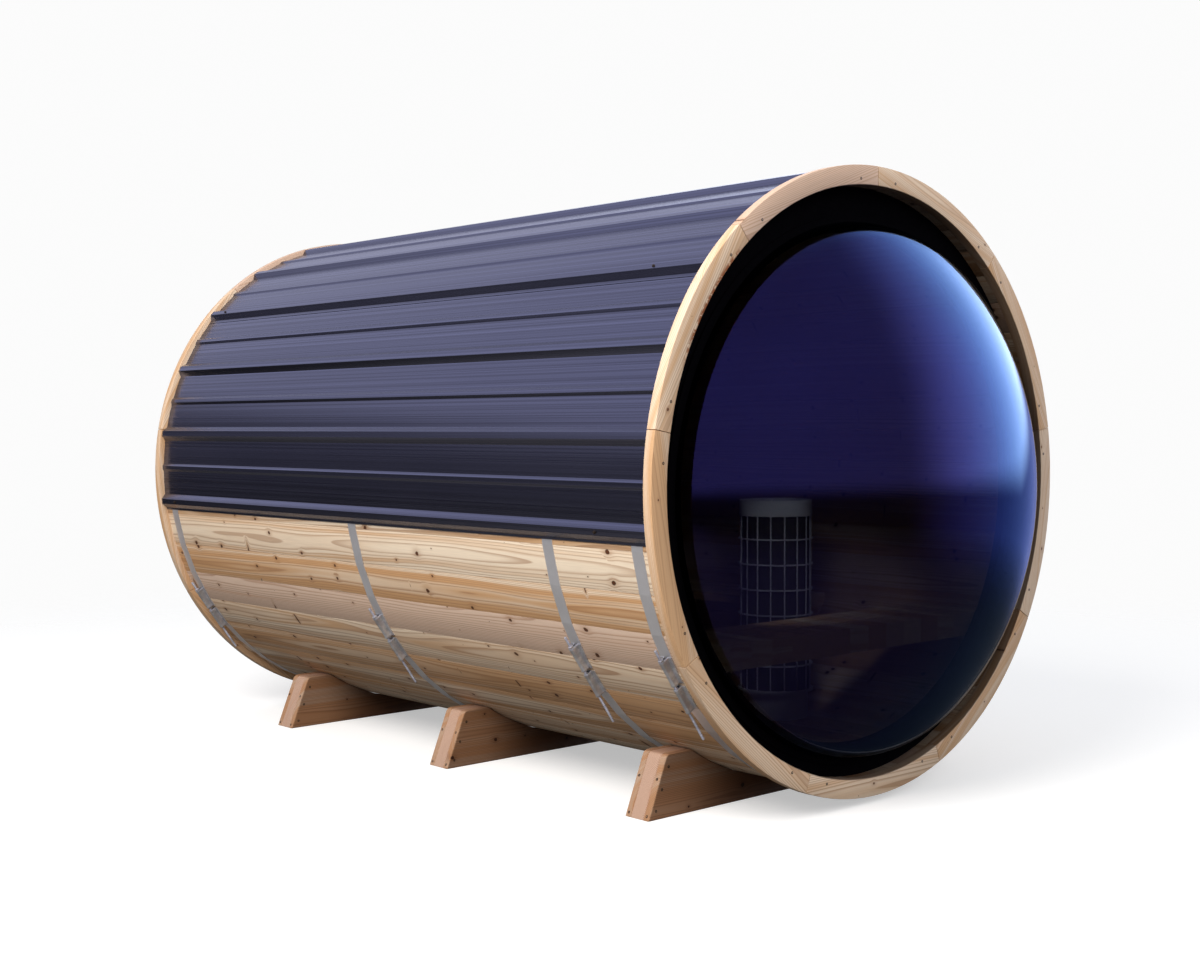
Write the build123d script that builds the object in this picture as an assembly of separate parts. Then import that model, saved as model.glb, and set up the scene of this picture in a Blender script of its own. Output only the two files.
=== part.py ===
from build123d import *
from math import asin, ceil, cos, degrees, pi, radians, sin, sqrt, tan
import os

# A barrel sauna: a horizontal barrel of coopered staves on three cradles, a wooden ring on each
# end, a ribbed steel roof wrapped over the top, four steel bands with threaded tensioners, and a
# blown acrylic dome in the front end. Millimetres. X runs across the barrel, Y from the dome to
# the back wall, Z up from the ground. Angles are turned in the XZ plane from +X towards +Z.

# Barrel
barrel_length = 3218.0
ring_outer_radius = 1100.0
ring_width = 68.0
ring_thickness = 38.0
ring_segments = 9
ground_clearance = 24.0
stave_count = 48
stave_thickness = 38.0
stave_set_in = 28.0
stave_turn = 2.6
bead_radius = 17.0
bead_half_width = 13.0

# Running clearances
fit_gap = 0.3
joint_gap = 0.4

# Front wall and dome
dome_wall_depth = 75.0
dome_wall_thickness = 30.0
dome_wall_segments = 8
dome_wall_margin = 109.0
dome_rise = 460.0
dome_thickness = 8.0
dome_knuckle = 315.0
dome_drop = 20.0
dome_lip_width = 26.0

# Back wall and door
back_wall_depth = 74.0
back_wall_thickness = 38.0
back_board_width = 135.0
door_width = 640.0
door_head_room = 262.0
door_frame_clearance = 5.0
door_thickness = 38.0
door_gap = 4.0
door_frame_width = 62.0
door_frame_thickness = 60.0
door_board_count = 5
door_ledge_width = 120.0
door_ledge_thickness = 24.0
door_ledge_inset = 220.0
hinge_length = 380.0
hinge_height = 36.0
hinge_thickness = 3.0
hinge_on_frame = 43.0
handle_length = 420.0
handle_size = 32.0
handle_bar_depth = 22.0
handle_stand_off = 30.0
handle_inset = 70.0
handle_post_inset = 60.0

# Floor
floor_lift = 94.0
floor_board_width = 92.0
floor_board_gap = 9.0
floor_board_thickness = 26.0
floor_bearer_width = 45.0
floor_bearer_count = 5
floor_end_gap = 12.0

# Heater
heater_across = 260.0
heater_back = 700.0
heater_diameter = 295.0
heater_height = 852.0
heater_base_height = 110.0
heater_base_inset = 20.0
heater_plate_thickness = 4.0
heater_band_height = 62.0
heater_band_lap = 20.0
heater_rod_diameter = 6.0
heater_rod_lap = 1.8
heater_stones_drop = 12.0
heater_rod_count = 16
heater_hoop_pitch = 98.0
heater_sheet = 2.0

# Benches
seat_height = 420.0
seat_board_width = 92.0
seat_board_gap = 12.0
seat_board_thickness = 28.0
seat_boards = 4
seat_fascia_height = 89.0
seat_fascia_thickness = 28.0
front_bench_depth = 380.0
right_bench_start = 960.0
bench_bearer_width = 45.0
bench_bearer_height = 61.0
bench_bearer_pitch = 900.0

# Roof sheet
sheet_thickness = 0.7
roof_edge_flat = 51.0
sheet_end_flat = 1.0
roof_rib_pitch = 16.05
roof_turn = -1.7
roof_ribs = 13
ribs_per_panel = 3
rib_height = 19.0
rib_base = 62.0
rib_top = 22.0
small_rib_height = 6.0
small_rib_base = 34.0
small_rib_top = 14.0

# Bands and tensioners
band_width = 51.0
band_thickness = 1.2
front_band_places = (105.0, 535.0, 1690.0)
back_band_inset = 110.0
tensioner_angle = 215.2
plate_length = 100.0
plate_gap = 14.0
plate_thickness = 2.0
tunnel_diameter = 17.0
rod_diameter = 10.0
rod_stand_off = 19.0
rod_tail = 48.0
rod_tip = 120.0
nut_across = 17.0
nut_length = 9.0
threaded_length = 16.0

# Cradles
front_cradle_places = (343.0, 1463.0)
back_cradle_inset = 507.0
cradle_cheek = 27.0
cradle_core = 60.0
cradle_flat = 120.3
cradle_rake = 88.0
cradle_height = 216.0
cradle_corner = 14.0

# What follows from those sizes
axis_height = ring_outer_radius + ground_clearance
stave_outer = ring_outer_radius - stave_set_in
stave_inner = stave_outer - stave_thickness
stave_pitch = 360.0 / stave_count
stave_corner_radius = stave_outer / cos(radians(stave_pitch / 2))
dome_reach = dome_rise + fit_gap - dome_wall_depth
front_y = (dome_reach - barrel_length) / 2
back_y = front_y + barrel_length
stave_start = front_y + ring_thickness
stave_length = barrel_length - 2 * ring_thickness
room_start = front_y + dome_wall_depth + dome_wall_thickness
room_end = back_y - back_wall_depth - back_wall_thickness
floor_drop = stave_inner - floor_lift
seat_drop = floor_drop - seat_height
floor_top = axis_height - floor_drop
seat_top = axis_height - seat_drop

os.makedirs("parts", exist_ok=True)


def write(name, *solids):
    """Writes one node: a single solid, or several that stand apart."""
    shape = solids[0] if len(solids) == 1 else Compound(children=list(solids))
    shape.label = name
    export_step(shape, f"parts/{name}.step")


def polar(radius, angle):
    """A point of the barrel's section, from its axis."""
    return (radius * cos(radians(angle)), radius * sin(radians(angle)))


def section_plane(y):
    """Sections are drawn looking along +Y, with the barrel's axis as their origin."""
    return Plane(origin=(0, y, axis_height), x_dir=(1, 0, 0), z_dir=(0, -1, 0))


def along(face, y, length):
    """Runs a section along the barrel, from y towards the back."""
    return extrude(section_plane(y) * face, amount=-length)


def turned(shape, angle):
    """Turns a shape about the barrel's axis."""
    return Pos(0, 0, axis_height) * Rot(0, -angle, 0) * Pos(0, 0, -axis_height) * shape


def ring_sector(inner, outer, start, end):
    """A flat piece of a ring between two angles."""
    middle = (start + end) / 2
    outline = Wire([
        Line(polar(inner, start), polar(outer, start)),
        ThreePointArc(polar(outer, start), polar(outer, middle), polar(outer, end)),
        Line(polar(outer, end), polar(inner, end)),
        ThreePointArc(polar(inner, end), polar(inner, middle), polar(inner, start)),
    ])
    return Face(outline)


def disc(radius):
    return Face(Wire([CenterArc((0, 0), radius, 0, 360)]))


def box(x0, x1, y0, y1, z0, z1):
    """A board given by its two corners."""
    return Pos((x0 + x1) / 2, (y0 + y1) / 2, (z0 + z1) / 2) * Box(x1 - x0, y1 - y0, z1 - z0)


# Staves: each one is flat outside and inside, with a bead along one edge that seats in the cove
# of the next one, so that the wall stays tight as it turns.


def stave_section():
    half = stave_pitch / 2
    gap = joint_gap / 2
    outer_half = stave_outer * tan(radians(half)) - gap
    inner_half = stave_inner * tan(radians(half)) - gap
    middle = (stave_outer + stave_inner) / 2 / cos(radians(half))
    body = make_face(Polyline(
        (stave_inner, -inner_half), (stave_outer, -outer_half),
        (stave_outer, outer_half), (stave_inner, inner_half), close=True,
    ))
    # Bead and cove share one centre, which lies square to the joint between the two staves.
    set_back = sqrt(bead_radius**2 - bead_half_width**2)
    near_x, near_y = polar(middle, half)
    far_x, far_y = polar(middle, -half)
    step_x, step_y = polar(set_back, 90 + half)
    back_x, back_y = polar(set_back, 90 - half)
    bead = Pos(near_x - step_x, near_y - step_y) * Circle(bead_radius - gap)
    cove = Pos(far_x - back_x, far_y - back_y) * Circle(bead_radius + gap)
    return body + bead - cove


stave = along(stave_section(), stave_start, stave_length)
stave_groups = (
    "staves_right", "staves_upper_right", "staves_top", "staves_upper_left",
    "staves_left", "staves_lower_left", "staves_floor", "staves_lower_right",
)
half_group = stave_count // len(stave_groups) // 2
group_edges = [stave_count * n // len(stave_groups) - half_group for n in range(len(stave_groups) + 1)]
for name, first, last in zip(stave_groups, group_edges, group_edges[1:]):
    write(name, *[turned(stave, stave_turn + stave_pitch * (n + 0.5)) for n in range(first, last)])

# End rings: nine sawn segments butted end to end, on the ends of the staves.


def end_ring(y):
    pitch = 360.0 / ring_segments
    half_gap = degrees(joint_gap / 2 / ring_outer_radius)
    inner = ring_outer_radius - ring_width
    starts = [90 + pitch * n for n in range(ring_segments)]
    sectors = [ring_sector(inner, ring_outer_radius, a + half_gap, a + pitch - half_gap) for a in starts]
    return [along(sector, y, ring_thickness) for sector in sectors]


write("front_ring", *end_ring(front_y))
write("back_ring", *end_ring(back_y - ring_thickness))

# Front wall: a black board ring set back inside the staves, and the dome on its face. The dome
# is blown to a shallow crown with a tight knuckle, and turns out at its rim into a flat lip.

wall_outer = stave_inner - fit_gap
dome_radius = stave_inner - dome_wall_margin
wall_inner = dome_radius - dome_lip_width
wall_y = front_y + dome_wall_depth
wall_pitch = 360.0 / dome_wall_segments
wall_gap = degrees(joint_gap / 2 / wall_outer)
wall_hole = Pos(0, -dome_drop) * disc(wall_inner)
wall_sectors = [
    ring_sector(wall_inner / 2, wall_outer, wall_pitch * n + wall_gap, wall_pitch * (n + 1) - wall_gap)
    for n in range(dome_wall_segments)
]
write("front_wall", *[along(sector - wall_hole, wall_y, dome_wall_thickness) for sector in wall_sectors])


def dome_half_section():
    """Half of the dome's section: a shallow crown on a tight knuckle that meets the lip square."""
    bore = dome_radius - dome_thickness
    rim = dome_radius + dome_lip_width
    rise = dome_rise - dome_thickness
    crown = (rise**2 + (dome_radius - dome_knuckle) ** 2 - dome_knuckle**2) / (2 * (rise - dome_knuckle))
    crown_back = crown - rise
    lean = degrees(asin((dome_radius - dome_knuckle) / (crown - dome_knuckle)))

    def point(centre, radius, angle):
        return (centre[0] + radius * sin(radians(angle)), centre[1] - radius * cos(radians(angle)))

    lip = -dome_thickness
    crown_centre = (0, lip + crown_back)
    knuckle_centre = (dome_radius - dome_knuckle, lip)
    inner_crown = crown - dome_thickness
    inner_knuckle = dome_knuckle - dome_thickness
    knuckle_middle = (lean + 90) / 2
    apex = point(crown_centre, crown, 0)
    outer_join = point(crown_centre, crown, lean)
    inner_apex = point(crown_centre, inner_crown, 0)
    inner_join = point(crown_centre, inner_crown, lean)
    return make_face([
        Line(inner_apex, apex),
        ThreePointArc(apex, point(crown_centre, crown, lean / 2), outer_join),
        ThreePointArc(outer_join, point(knuckle_centre, dome_knuckle, knuckle_middle), (dome_radius, lip)),
        Line((dome_radius, lip), (rim, lip)),
        Line((rim, lip), (rim, 0)),
        Line((rim, 0), (bore, 0)),
        Line((bore, 0), (bore, lip)),
        ThreePointArc((bore, lip), point(knuckle_centre, inner_knuckle, knuckle_middle), inner_join),
        ThreePointArc(inner_join, point(crown_centre, inner_crown, lean / 2), inner_apex),
    ])


dome = revolve(dome_half_section(), axis=Axis.Y)
write("dome", Pos(0, wall_y - fit_gap, axis_height - dome_drop) * dome)

# Back wall: upright boards set back inside the staves, cut around a framed plank door.

back_wall_y = back_y - back_wall_depth - back_wall_thickness
opening_half = door_width / 2 + door_gap + door_frame_width
frame_foot = sqrt((stave_inner - door_frame_clearance) ** 2 - opening_half**2)
door_top = stave_inner - door_head_room
door_bottom = door_frame_width + door_gap - frame_foot
door_height = door_top - door_bottom
door_middle = (door_bottom + door_top) / 2
opening_height = door_height + 2 * (door_gap + door_frame_width)
opening = Pos(0, door_middle) * Rectangle(2 * opening_half, opening_height)
wall_disc = disc(wall_outer)
left_boards, right_boards, over_boards, under_boards = [], [], [], []
board_total = 2 * ceil(wall_outer / back_board_width)
for n in range(board_total):
    x = (n - board_total / 2 + 0.5) * back_board_width
    strip = Pos(x, 0) * Rectangle(back_board_width - joint_gap, 2 * ring_outer_radius)
    cut = (wall_disc & strip) - opening
    for face in cut.faces():
        board = along(face, back_wall_y, back_wall_thickness)
        middle = face.center()
        if abs(middle.X) < opening_half - back_board_width / 4:
            (over_boards if middle.Y > 0 else under_boards).append(board)
        elif middle.X < 0:
            left_boards.append(board)
        else:
            right_boards.append(board)
write("back_wall_left", *left_boards)
write("back_wall_right", *right_boards)
write("back_wall_over_door", *over_boards)
write("back_wall_under_door", *under_boards)

frame_outer = Pos(0, door_middle) * Rectangle(2 * (opening_half - fit_gap), opening_height - 2 * fit_gap)
frame_hole = Pos(0, door_middle) * Rectangle(door_width + 2 * door_gap, door_height + 2 * door_gap)
door_y = back_wall_y + (back_wall_thickness - door_thickness) / 2
door_face = door_y + door_thickness
door_frame_y = door_face - door_frame_thickness
write("door_frame", along(frame_outer - frame_hole, door_frame_y, door_frame_thickness))
door_board = door_width / door_board_count
door_board_face = Rectangle(door_board - joint_gap, door_height)
board_middles = [(n - door_board_count / 2 + 0.5) * door_board for n in range(door_board_count)]
write("door_boards", *[
    along(Pos(x, door_middle) * door_board_face, door_y, door_thickness) for x in board_middles
])
ledge_heights = (door_bottom + door_ledge_inset, door_top - door_ledge_inset)
ledge_half = door_width / 2 - door_gap
write("door_ledges", *[
    box(-ledge_half, ledge_half, door_y - door_ledge_thickness, door_y,
        axis_height + z - door_ledge_width / 2, axis_height + z + door_ledge_width / 2)
    for z in ledge_heights
])

# Strap hinges lie across the door and its frame on the outside, and the handle is a wooden bar
# on two posts.

hinge_left = -door_width / 2 - door_gap - hinge_on_frame
write("door_hinges", *[
    box(hinge_left, hinge_left + hinge_length, door_face, door_face + hinge_thickness,
        axis_height + z - hinge_height / 2, axis_height + z + hinge_height / 2)
    for z in ledge_heights
])
handle_x = door_width / 2 - handle_inset
handle_half = handle_size / 2
handle_middle = axis_height + door_middle
handle_back = door_face + handle_stand_off
post_reach = handle_length / 2 - handle_post_inset
handle_posts = [
    box(handle_x - handle_half, handle_x + handle_half, door_face, handle_back,
        handle_middle + offset - handle_half, handle_middle + offset + handle_half)
    for offset in (-post_reach, post_reach)
]
handle_bar = box(
    handle_x - handle_half, handle_x + handle_half, handle_back, handle_back + handle_bar_depth,
    handle_middle - handle_length / 2, handle_middle + handle_length / 2,
)
write("door_handle", handle_bar + handle_posts[0] + handle_posts[1])

# Floor: a duckboard of long slats on bearers sawn to the barrel's round.

slat_pitch = floor_board_width + floor_board_gap
floor_room = sqrt((stave_inner - fit_gap) ** 2 - (floor_drop + floor_board_thickness) ** 2)
slat_count = int((2 * floor_room + floor_board_gap) / slat_pitch)
floor_half = (slat_count * slat_pitch - floor_board_gap) / 2
floor_start = room_start + floor_end_gap
floor_end = min(room_end, door_frame_y) - floor_end_gap
slat_edges = [n * slat_pitch - floor_half for n in range(slat_count)]
write("floor_boards", *[
    box(edge, edge + floor_board_width, floor_start, floor_end, floor_top - floor_board_thickness, floor_top)
    for edge in slat_edges
])
bearer_top = -floor_drop - floor_board_thickness
bearer_bottom_face = disc(stave_inner - fit_gap) & (
    Pos(0, bearer_top - ring_outer_radius / 2) * Rectangle(2 * floor_half, ring_outer_radius)
)
bearer_step = (floor_end - floor_start - floor_bearer_width) / (floor_bearer_count - 1)
write("floor_bearers", *[
    along(bearer_bottom_face, floor_start + n * bearer_step, floor_bearer_width)
    for n in range(floor_bearer_count)
])

# Heater: a tower of stones in a wire cage, on a sheet base, with a solid band round its top.

heater_y = front_y + heater_back
heater_radius = heater_diameter / 2
rod_half = heater_rod_diameter / 2
cage_radius = heater_radius * cos(pi / heater_rod_count) - heater_rod_diameter - rod_half + heater_rod_lap
cage_bottom = floor_top + heater_base_height
heater_top = floor_top + heater_height
cage_top = heater_top - heater_band_height


def upright(radius, bottom, top):
    return Pos(heater_across, heater_y, (bottom + top) / 2) * Cylinder(radius, top - bottom)


plate_bottom = cage_bottom - heater_plate_thickness
base_plate = upright(heater_radius, plate_bottom, cage_bottom)
write("heater_base", base_plate + upright(heater_radius - heater_base_inset, floor_top, plate_bottom))
stones_radius = cage_radius - heater_rod_diameter
write("heater_stones", upright(stones_radius, cage_bottom, heater_top - heater_stones_drop))
hoop_count = int((cage_top - cage_bottom) / heater_hoop_pitch) + 1
rod_turn = 180 / heater_rod_count
hoop_outer = RegularPolygon(heater_radius, heater_rod_count)
hoop_side = cage_radius + rod_half - heater_rod_lap
hoop_inner = RegularPolygon(hoop_side / cos(pi / heater_rod_count), heater_rod_count)
hoop = extrude(hoop_outer - hoop_inner, amount=heater_rod_diameter)
hoops = [
    Pos(heater_across, heater_y, cage_bottom + n * heater_hoop_pitch) * hoop for n in range(hoop_count)
]
rod_length = cage_top + heater_band_lap - cage_bottom
rod = extrude(RegularPolygon(rod_half, 6), amount=rod_length)
cage_foot = Pos(heater_across, heater_y, cage_bottom)
rods = [
    cage_foot * Rot(0, 0, rod_turn * (2 * n + 1)) * Pos(cage_radius, 0, 0) * rod
    for n in range(heater_rod_count)
]
write("heater_cage", rods[0].fuse(*rods[1:], *hoops))
bore_radius = cage_radius + rod_half + fit_gap
band_bore = upright(bore_radius, cage_top, heater_top)
write("heater_top_band", upright(bore_radius + heater_sheet, cage_top, heater_top) - band_bore)

# Benches: slatted seats along the front and both sides, on bearers sawn to the barrel's round.

seat_pitch = seat_board_width + seat_board_gap
seat_depth = seat_boards * seat_pitch - seat_board_gap
seat_bottom = seat_top - seat_board_thickness
wall_half_at_seat = sqrt((stave_inner - fit_gap) ** 2 - (axis_height - seat_bottom) ** 2)
inner_edge = wall_half_at_seat - seat_depth
side_start = room_start + floor_end_gap
side_end = room_end - floor_end_gap


def side_seat(side, start):
    """Seat boards along one wall, from start to the back wall."""
    middles = [side * (inner_edge + seat_board_width / 2 + n * seat_pitch) for n in range(seat_boards)]
    half = seat_board_width / 2
    return [box(middle - half, middle + half, start, side_end, seat_bottom, seat_top) for middle in middles]


def side_bearers(side, start):
    """Bearers under a side seat, sawn off to the round of the wall."""
    length = side_end - start
    count = max(2, ceil(length / bench_bearer_pitch) + 1)
    step = (length - bench_bearer_width) / (count - 1)
    top = -seat_drop - seat_board_thickness
    reach = inner_edge + seat_fascia_thickness + ring_outer_radius / 2
    strip = Rectangle(ring_outer_radius, bench_bearer_height)
    outline = disc(stave_inner - fit_gap) & (Pos(side * reach, top - bench_bearer_height / 2) * strip)
    return [along(outline, start + n * step, bench_bearer_width) for n in range(count)]


left_start = side_start + front_bench_depth + 2 * seat_board_gap
right_start = front_y + right_bench_start
write("left_bench_seat", *side_seat(-1, left_start))
write("right_bench_seat", *side_seat(1, right_start))
write("bench_bearers", *side_bearers(-1, left_start), *side_bearers(1, right_start))
front_rows = int((front_bench_depth + seat_board_gap) / seat_pitch)
front_edges = [side_start + seat_fascia_thickness + n * seat_pitch for n in range(front_rows)]
write("front_bench_seat", *[
    box(-wall_half_at_seat, wall_half_at_seat, edge, edge + seat_board_width, seat_bottom, seat_top)
    for edge in front_edges
])
fascia_bottom = seat_top - seat_fascia_height
fascia_half = sqrt((stave_inner - fit_gap) ** 2 - (axis_height - fascia_bottom) ** 2)
fascia_back = side_start + seat_fascia_thickness - fit_gap
write("front_bench_fascia", box(-fascia_half, fascia_half, side_start, fascia_back, fascia_bottom, seat_top))

# Roof: four sheets, each three rib pitches wide, that meet beside a rib, with a flat edge past
# the last rib on each side.

roof_outer = stave_corner_radius + fit_gap + band_thickness + fit_gap + sheet_thickness
rib_angles = [90 + roof_turn + (n - (roof_ribs - 1) / 2) * roof_rib_pitch for n in range(roof_ribs)]


def arc_angle(width):
    return degrees(width / roof_outer)


def rib_points(angle, base, top, height):
    """The four corners of a rib, as radius and angle."""
    crest = roof_outer + height
    return [
        (roof_outer, angle - arc_angle(base / 2)), (crest, angle - arc_angle(top / 2)),
        (crest, angle + arc_angle(top / 2)), (roof_outer, angle + arc_angle(base / 2)),
    ]


def sheet_edges(points, drop):
    """Straight lines over the ribs and arcs over the flats between two ribs."""
    edges = []
    for (r0, a0), (r1, a1) in zip(points, points[1:]):
        p0, p1 = polar(r0 - drop, a0), polar(r1 - drop, a1)
        flat = abs(r0 - r1) < sheet_thickness / 2 and r0 < roof_outer + small_rib_height / 2
        if flat:
            edges.append(ThreePointArc(p0, polar(r0 - drop, (a0 + a1) / 2), p1))
        else:
            edges.append(Line(p0, p1))
    return edges


def roof_sheet(points):
    upper = sheet_edges(points, 0)
    lower = sheet_edges(points, sheet_thickness)
    (r0, a0), (r1, a1) = points[0], points[-1]
    ends = [
        Line(polar(r0, a0), polar(r0 - sheet_thickness, a0)),
        Line(polar(r1, a1), polar(r1 - sheet_thickness, a1)),
    ]
    return along(make_face(upper + lower + ends), stave_start + fit_gap, stave_length - 2 * fit_gap)


sheet_names = (
    "roof_sheet_right", "roof_sheet_upper_right", "roof_sheet_upper_left", "roof_sheet_left",
)
edge_right = rib_angles[0] - arc_angle(rib_base / 2 + roof_edge_flat)
edge_left = rib_angles[-1] + arc_angle(rib_base / 2 + roof_edge_flat)
for n, name in enumerate(sheet_names):
    first_rib = n * ribs_per_panel
    last_rib = first_rib + ribs_per_panel
    if n == 0:
        points = [(roof_outer, edge_right), *rib_points(rib_angles[0], rib_base, rib_top, rib_height)]
    else:
        points = [(roof_outer, rib_angles[first_rib] + arc_angle(rib_base / 2 + 2 * sheet_end_flat))]
    for angle in rib_angles[first_rib + 1:last_rib + 1]:
        small_angle = angle - roof_rib_pitch / 2
        points += rib_points(small_angle, small_rib_base, small_rib_top, small_rib_height)
        points += rib_points(angle, rib_base, rib_top, rib_height)
    if name == sheet_names[-1]:
        points.append((roof_outer, edge_left))
    else:
        points.append((roof_outer, rib_angles[last_rib] + arc_angle(rib_base / 2 + sheet_end_flat)))
    write(name, roof_sheet(points))

# Bands: flat steel straps drawn tight round the staves, so each one bends at every joint. Each end
# lies under a plate that is pressed up into a tunnel, and one threaded rod runs through both
# tunnels: its nut bears on the upper plate and its thread draws the lower one.


def hoop_outline(flat):
    """A many-sided outline that lies on the staves, at that distance over the axis."""
    corner = flat / cos(radians(stave_pitch / 2))
    corners = [polar(corner, stave_turn + stave_pitch * n) for n in range(stave_count)]
    return make_face(Polyline(*corners, close=True))


band_inner = stave_outer + fit_gap
band_outer = band_inner + band_thickness
plate_outer = band_outer + plate_thickness
rod_orbit = band_outer + rod_stand_off
tunnel_radius = tunnel_diameter / 2
tunnel_bore = tunnel_radius - plate_thickness
wedge_outer = ring_outer_radius + rod_stand_off
reach = plate_gap / 2 + plate_length


def tensioner_sector(start, end):
    """The part of the barrel's section between two places along the rod."""
    angles = [tensioner_angle + degrees(place / rod_orbit) for place in (start, end)]
    return ring_sector(band_inner / 2, wedge_outer, *angles)


def tunnel_face(radius):
    """A round-topped opening, in a plane square to the rod."""
    legs = Pos(-rod_stand_off, 0) * Rectangle(2 * rod_stand_off, 2 * radius)
    return legs + Circle(radius)


band_opening = tensioner_sector(-plate_gap / 2, plate_gap / 2)
band_section = hoop_outline(band_outer) - hoop_outline(band_inner) - band_opening
flange_section = hoop_outline(plate_outer) - hoop_outline(band_outer)
band_places = [*front_band_places, barrel_length - back_band_inset]
straps, plates, rods = [], [], []
for place in band_places:
    y = front_y + place
    edge = y - band_width / 2
    straps.append(along(band_section, edge, band_width))
    x, z = polar(rod_orbit, tensioner_angle)
    middle = Pos(x, y, axis_height + z) * Rot(0, -tensioner_angle, 0)
    barrel_round = along(hoop_outline(band_outer), edge, band_width)
    for start in (-reach, plate_gap / 2):
        flange = along(flange_section & tensioner_sector(start, start + plate_length), edge, band_width)
        tunnel = middle * Pos(0, 0, start) * extrude(tunnel_face(tunnel_radius), amount=plate_length)
        bore = middle * Pos(0, 0, -reach) * extrude(tunnel_face(tunnel_bore), amount=2 * reach)
        plate = flange + tunnel - bore - barrel_round
        if start > 0:
            thread = Circle(tunnel_bore) - Circle(rod_diameter / 2 + fit_gap)
            plate += middle * Pos(0, 0, start) * extrude(thread, amount=threaded_length)
        plates.append(plate)
    rod_start = -reach - fit_gap - rod_tail
    rod = Pos(0, 0, rod_start) * extrude(Circle(rod_diameter / 2), amount=reach + rod_tip - rod_start)
    nut_outline = RegularPolygon(nut_across / 2, 6, major_radius=False)
    nut = Pos(0, 0, -reach - fit_gap - nut_length) * extrude(nut_outline, amount=nut_length)
    rods.append(middle * (rod + nut))
write("band_straps", *straps)
write("tensioner_pins", *plates)
write("tensioner_rods", *rods)

# Cradles: three boards laminated, hollowed to the barrel's round, with raked ends.


def cradle_section():
    corner = axis_height - cradle_height
    hollow = stave_corner_radius + fit_gap
    top_half = sqrt(hollow**2 - corner**2) + cradle_flat
    bottom_half = top_half + cradle_rake
    outline = make_face(Polyline(
        (-bottom_half, -axis_height), (bottom_half, -axis_height),
        (top_half, -corner), (-top_half, -corner), close=True,
    ))
    top_corners = outline.vertices().sort_by(Axis.Y)[-2:]
    outline = fillet(top_corners, cradle_corner)
    return outline - disc(hollow)


cradle = cradle_section()
cradle_thickness = 2 * cradle_cheek + cradle_core
back_cradle_place = barrel_length - back_cradle_inset - cradle_thickness
cradle_places = [*front_cradle_places, back_cradle_place]
for name, place in zip(("front", "middle", "back"), cradle_places):
    y = front_y + place
    front_cheek = along(cradle, y, cradle_cheek)
    core = along(cradle, y + cradle_cheek, cradle_core)
    back_cheek = along(cradle, y + cradle_cheek + cradle_core, cradle_cheek)
    write(f"cradle_{name}_core", core)
    write(f"cradle_{name}_cheeks", front_cheek, back_cheek)
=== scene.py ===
from math import cos, pi, radians, sin, sqrt, tan

import bmesh
import bpy
import numpy as np
from mathutils import Matrix, Vector


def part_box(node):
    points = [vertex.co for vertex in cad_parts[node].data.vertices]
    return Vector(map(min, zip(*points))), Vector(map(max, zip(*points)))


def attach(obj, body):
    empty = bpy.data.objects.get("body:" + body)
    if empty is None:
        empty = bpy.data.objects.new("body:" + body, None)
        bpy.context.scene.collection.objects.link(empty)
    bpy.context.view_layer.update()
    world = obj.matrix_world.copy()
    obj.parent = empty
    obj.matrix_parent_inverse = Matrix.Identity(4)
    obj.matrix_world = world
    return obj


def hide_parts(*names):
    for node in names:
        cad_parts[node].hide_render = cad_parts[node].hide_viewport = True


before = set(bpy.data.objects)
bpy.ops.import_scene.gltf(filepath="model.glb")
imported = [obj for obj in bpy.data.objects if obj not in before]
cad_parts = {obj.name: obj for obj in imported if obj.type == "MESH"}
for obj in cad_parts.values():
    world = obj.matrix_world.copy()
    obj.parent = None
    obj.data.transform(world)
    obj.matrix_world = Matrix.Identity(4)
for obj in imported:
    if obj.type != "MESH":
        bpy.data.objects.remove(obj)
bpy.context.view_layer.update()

# Camera: at standing height, in front and to the left of the barrel, looking in at the dome
# through a lens of about 48 mm on a full frame.

camera_place = Vector((-4.4651, -4.8825, 1.3292))
camera_yaw = radians(42.311)
camera_pitch = radians(-2.170)
camera_roll = radians(-0.135)
focal_pixels = 1595.1
image_width = 1200

forward = Vector((
    sin(camera_yaw) * cos(camera_pitch), cos(camera_yaw) * cos(camera_pitch), sin(camera_pitch),
))
level = Vector((cos(camera_yaw), -sin(camera_yaw), 0.0))
upward = level.cross(forward)
right = level * cos(camera_roll) + upward * sin(camera_roll)
up = upward * cos(camera_roll) - level * sin(camera_roll)
camera_data = bpy.data.cameras.new("camera")
camera_data.sensor_width = 36.0
camera_data.lens = focal_pixels / image_width * camera_data.sensor_width
camera = bpy.data.objects.new("camera", camera_data)
camera_turn = Matrix((right, up, -forward)).transposed().to_4x4()
camera.matrix_world = Matrix.Translation(camera_place) @ camera_turn
bpy.context.scene.collection.objects.link(camera)
bpy.context.scene.camera = camera

# Staves: forty-eight softwood boards, 140 mm wide and 38 mm thick, planed, with the edges just
# broken, and laid up into a barrel. The wood runs from cream to honey, with many small knots.

ring_low, ring_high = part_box("front_ring")
ring_radius = (ring_high.x - ring_low.x) / 2
axis_z = (ring_high.z + ring_low.z) / 2
front_y = ring_low.y
back_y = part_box("back_ring")[1].y


def joined_bars(rings):
    """Bars as one closed mesh. rings is an array of bars, stations, corners and XYZ: each bar's
    outline at every station along it. Neighbours along and around are joined by quads, and the
    first and last outlines are closed."""
    bars, stations, corners = rings.shape[:3]
    index = np.arange(bars * stations * corners).reshape(bars, stations, corners)
    here, ahead = index[:, :-1], index[:, 1:]
    sides = np.stack([here, np.roll(here, -1, 2), np.roll(ahead, -1, 2), ahead], -1).reshape(-1, 4)
    caps = np.concatenate([index[:, 0, ::-1], index[:, -1]])
    mesh = bpy.data.meshes.new("bars")
    mesh.from_pydata(rings.reshape(-1, 3).tolist(), [], sides.tolist() + caps.tolist())
    return mesh


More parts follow.
